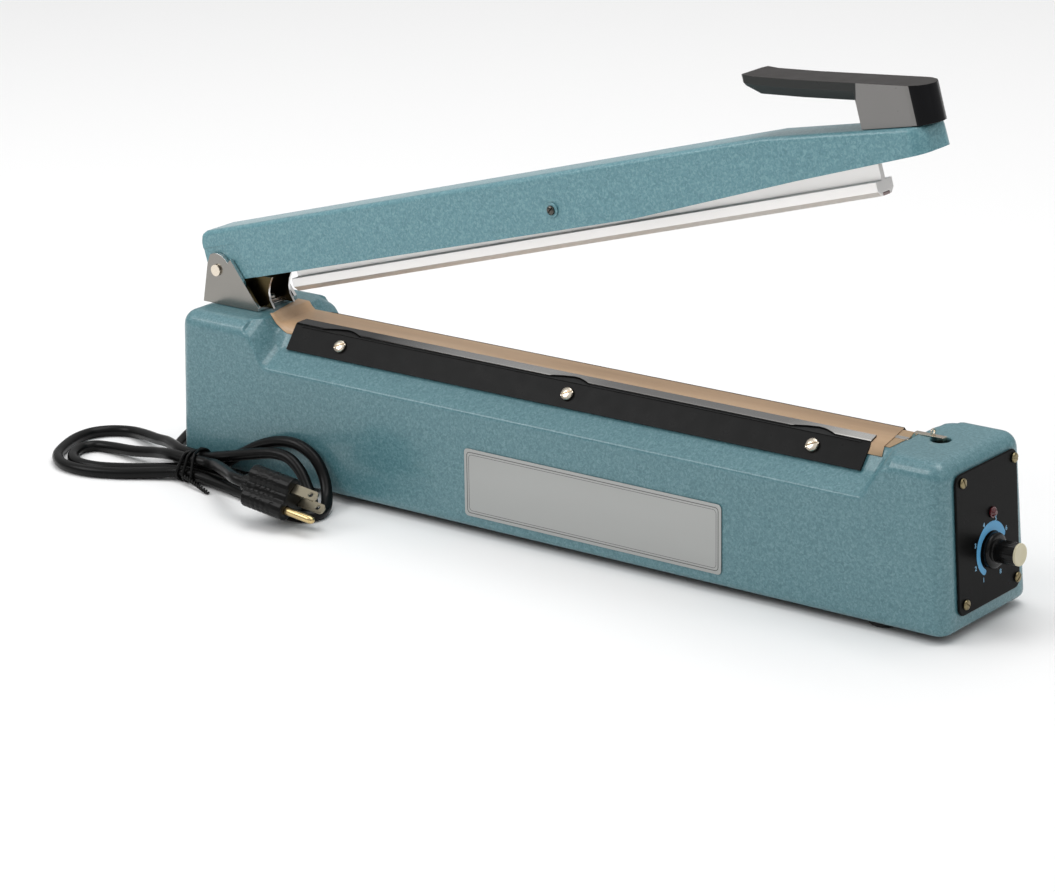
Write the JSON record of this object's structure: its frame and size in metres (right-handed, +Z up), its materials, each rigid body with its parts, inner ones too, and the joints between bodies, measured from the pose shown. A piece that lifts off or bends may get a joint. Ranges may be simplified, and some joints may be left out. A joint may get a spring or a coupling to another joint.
{
  "type": "bench impulse sealer",
  "caption": "Bench heat sealer for bags: a hinged arm with a pressure bar closes on a heated jaw on a hollow housing, with a timer knob, pilot lamp and coiled mains cord with plug.",
  "frame": {"origin": "on the bench plane under the middle of the sealer, its free cord and plug left out; the feet stand on z = 0", "axes": "+Z up, +X along the jaw from the hinge to the control panel, +Y to the far side; the label side faces -Y"},
  "size_m": [0.6685, 0.1484, 0.295],
  "materials": {
    "hammertone_paint": "blue-green hammered enamel, half gloss, over a thin casting",
    "chrome_plate": "bright plating",
    "zinc_steel": "zinc-plated steel",
    "brass_metal": "plain brass",
    "bright_aluminium": "drawn aluminium, satin",
    "black_plastic": "black moulded plastic",
    "ivory_plastic": "ivory moulded plastic",
    "red_lens": "dark red lamp lens",
    "black_rubber": "black rubber and soft PVC",
    "tan_cloth": "tan non-stick coated glass cloth, semi-gloss",
    "black_steel": "black painted sheet steel",
    "red_silicone": "red-brown silicone rubber",
    "pale_insulation": "pale heat-proof cloth",
    "circuit_board": "brown board with a relay",
    "dark_iron": "laminated iron",
    "coil_varnish": "varnished winding"
  },
  "bodies": {
    "base": {"housing": "hammertone_paint", "bottom_cover": "black_steel", "cover_screw_left": "zinc_steel", "cover_screw_right": "zinc_steel", "foot_front_left": "black_rubber", "foot_front_right": "black_rubber", "foot_rear_left": "black_rubber", "foot_rear_right": "black_rubber", "insulation_strip": "pale_insulation", "heating_element": "chrome_plate", "ptfe_sheet": "tan_cloth", "clamp_strip_front": "black_steel", "clamp_strip_rear": "black_steel", "clamp_screw_front_left": "zinc_steel", "clamp_screw_front_middle": "zinc_steel", "clamp_screw_front_right": "zinc_steel", "clamp_screw_rear_left": "zinc_steel", "clamp_screw_rear_middle": "zinc_steel", "clamp_screw_rear_right": "zinc_steel", "terminal_block": "ivory_plastic", "tension_spring": "zinc_steel", "hinge_bracket": "chrome_plate", "inner_bracket": "zinc_steel", "bracket_screw_rear": "zinc_steel", "bracket_screw_front": "zinc_steel", "hinge_pin": "chrome_plate", "return_spring": "zinc_steel", "control_panel": "black_plastic", "panel_screw_near_low": "brass_metal", "panel_screw_near_high": "brass_metal", "panel_screw_far_low": "brass_metal", "panel_screw_far_high": "brass_metal", "led_lens": "red_lens", "potentiometer": "zinc_steel", "timer_board": "circuit_board", "label_plate": "bright_aluminium", "transformer_core": "dark_iron", "transformer_coil": "coil_varnish", "microswitch": "black_plastic", "strain_relief": "black_rubber", "cord_hank": "black_rubber", "cord_lead": "black_rubber", "plug_body": "black_rubber", "plug_blade_near": "brass_metal", "plug_blade_far": "brass_metal", "plug_pin": "brass_metal", "cord_tail": "black_rubber", "cord_tie": "black_rubber"},
    "arm": {"arm": "hammertone_paint", "handle": "black_plastic", "handle_screw": "zinc_steel", "cross_screw": "zinc_steel", "cross_nut": "zinc_steel"},
    "bar": {"pressure_bar": "bright_aluminium", "silicone_strip": "red_silicone", "bar_hanger": "zinc_steel"},
    "knob": {"timer_knob": "black_plastic", "knob_cap": "ivory_plastic"},
    "switch_rod": {"switch_rod": "zinc_steel"},
    "tensioner": {"terminal_right": "zinc_steel"}
  },
  "joints": [
    {"name": "arm_hinge", "type": "hinge", "parent": "base", "child": "arm", "pos_m": [-0.26883, 0, 0.1218], "axis": [0, 1, 0], "range_deg": [0, 16.04], "stiffness_Nm_per_rad": 4, "springref_deg": -34.38, "deforming": ["return_spring"]},
    {"name": "bar_rock", "type": "hinge", "parent": "arm", "child": "bar", "pos_m": [-0.00549, 0, 0.19574], "axis": [0, 1, 0], "range_deg": [-0.66, 0]},
    {"name": "knob_turn", "type": "hinge", "parent": "base", "child": "knob", "pos_m": [0.27283, 0.0025, 0.04258], "axis": [0.9994, 0, 0.0349], "range_deg": [-150, 150]},
    {"name": "switch_rod_slide", "type": "slide", "parent": "base", "child": "switch_rod", "axis": [0, 0, 1], "range_m": [-0.0044, 0]},
    {"name": "tensioner_slide", "type": "slide", "parent": "base", "child": "tensioner", "axis": [1, 0, 0], "range_m": [0, 0.002], "stiffness_N_per_m": 2000, "deforming": ["tension_spring"]}
  ],
  "couplings": [
    {"joint": "bar_rock", "follows": "arm_hinge", "ratio": -0.0393},
    {"joint": "switch_rod_slide", "follows": "arm_hinge", "m_per_rad": -0.0156}
  ]
}
